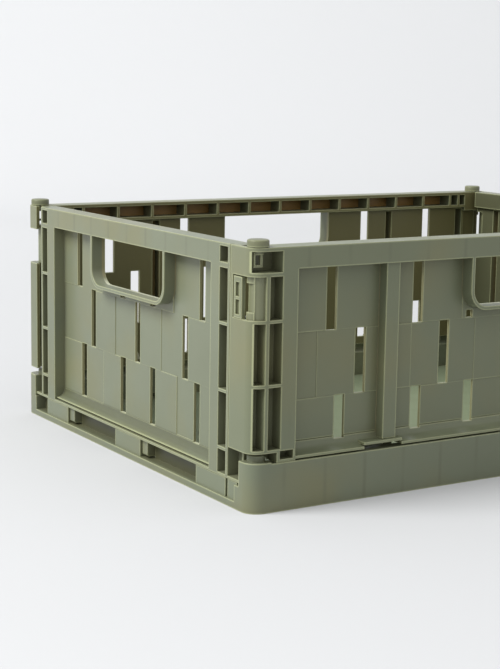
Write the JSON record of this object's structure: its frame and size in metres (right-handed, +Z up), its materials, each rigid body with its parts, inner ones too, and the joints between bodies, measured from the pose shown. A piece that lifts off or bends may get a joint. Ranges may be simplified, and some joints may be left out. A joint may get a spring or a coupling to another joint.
{
  "type": "collapsible storage crate",
  "caption": "Low rectangular folding storage crate with slatted walls, hand holes in every wall, hinged end walls with snap latches and round stacking knobs on the corners.",
  "frame": {"origin": "centre of the footprint on the ground plane", "axes": "+X along the long side, +Y towards the back long wall, +Z up"},
  "size_m": [0.4, 0.3, 0.1512],
  "materials": {
    "base_plastic": "moulded polypropylene, olive green, satin",
    "long_wall_plastic": "moulded polypropylene, olive green, satin",
    "end_wall_plastic": "moulded polypropylene, olive green, satin",
    "clip_plastic": "moulded polypropylene, olive green, smoother satin",
    "knob_plastic": "moulded polypropylene, olive green, satin"
  },
  "bodies": {
    "tray": {"base_tray": "base_plastic", "front_wall": "long_wall_plastic", "back_wall": "long_wall_plastic", "stacking_knob_front_left": "knob_plastic", "stacking_knob_front_right": "knob_plastic", "stacking_knob_back_left": "knob_plastic", "stacking_knob_back_right": "knob_plastic"},
    "left_end": {"left_end_wall": "end_wall_plastic"},
    "right_end": {"right_end_wall": "end_wall_plastic"},
    "latch_front_left": {"latch_clip_front_left": "clip_plastic"},
    "latch_back_right": {"latch_clip_back_right": "clip_plastic"}
  },
  "joints": [
    {"name": "left_end_wall_fold", "type": "hinge", "parent": "tray", "child": "left_end", "pos_m": [-0.192, 0, 0.0095], "axis": [0, 1, 0], "range_deg": [0, 90]},
    {"name": "right_end_wall_fold", "type": "hinge", "parent": "tray", "child": "right_end", "pos_m": [0.192, 0, 0.0095], "axis": [0, -1, 0], "range_deg": [0, 90]},
    {"name": "latch_front_left_flex", "type": "hinge", "parent": "left_end", "child": "latch_front_left", "pos_m": [-0.1944, -0.1292, 0.119], "axis": [0, 0, -1], "range_deg": [0, 6], "stiffness_Nm_per_rad": 0.3},
    {"name": "latch_back_right_flex", "type": "hinge", "parent": "right_end", "child": "latch_back_right", "pos_m": [0.1944, 0.1292, 0.119], "axis": [0, 0, -1], "range_deg": [0, 6], "stiffness_Nm_per_rad": 0.3}
  ]
}
